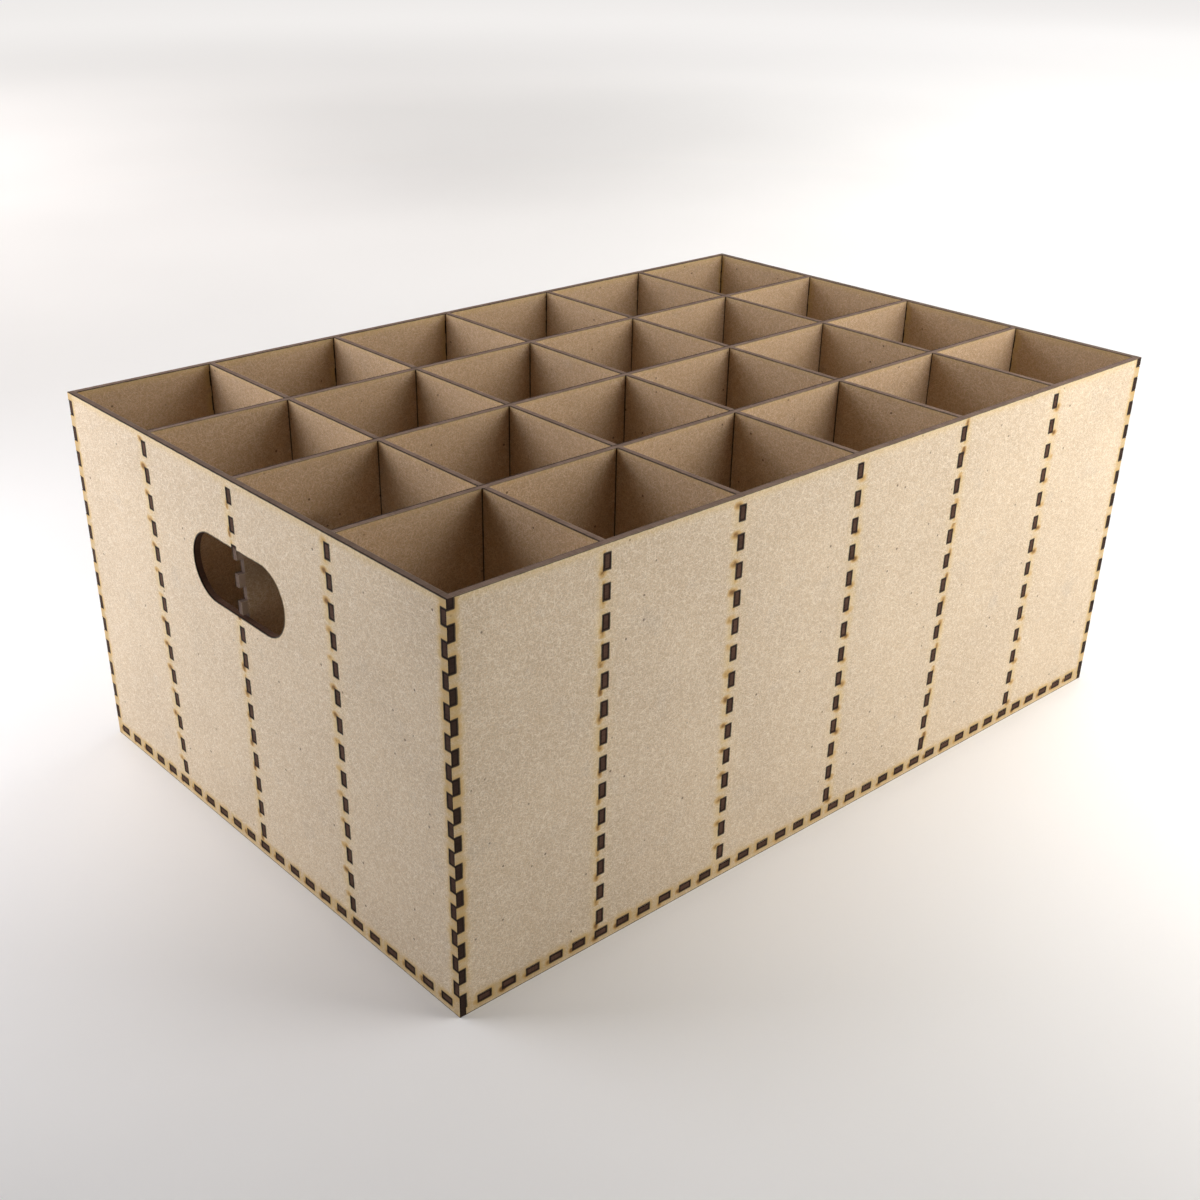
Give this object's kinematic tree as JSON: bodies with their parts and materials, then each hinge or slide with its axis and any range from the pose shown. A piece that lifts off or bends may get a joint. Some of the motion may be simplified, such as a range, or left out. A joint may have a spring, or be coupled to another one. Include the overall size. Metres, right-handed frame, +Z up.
{
  "type": "can storage crate",
  "caption": "Open rectangular crate of finger-jointed fibreboard, with slotted dividers that make a grid of square cells for standing drinks cans and a rounded hand hole in each end.",
  "frame": {"origin": "middle of the footprint, on the surface the crate stands on", "axes": "+X along the length, +Y across the width, +Z up"},
  "size_m": [0.42, 0.28, 0.176],
  "materials": {
    "wall_board": "raw pale fibreboard with scorched laser-cut edges",
    "divider_board": "raw fibreboard with scorched laser-cut edges"
  },
  "bodies": {
    "root": {"front_wall": "wall_board", "back_wall": "wall_board", "left_end_wall": "wall_board", "right_end_wall": "wall_board", "floor_board": "divider_board", "cross_divider_1": "divider_board", "cross_divider_2": "divider_board", "cross_divider_3": "divider_board", "cross_divider_4": "divider_board", "cross_divider_5": "divider_board", "long_divider_1": "divider_board", "long_divider_2": "divider_board", "long_divider_3": "divider_board"}
  },
  "joints": []
}
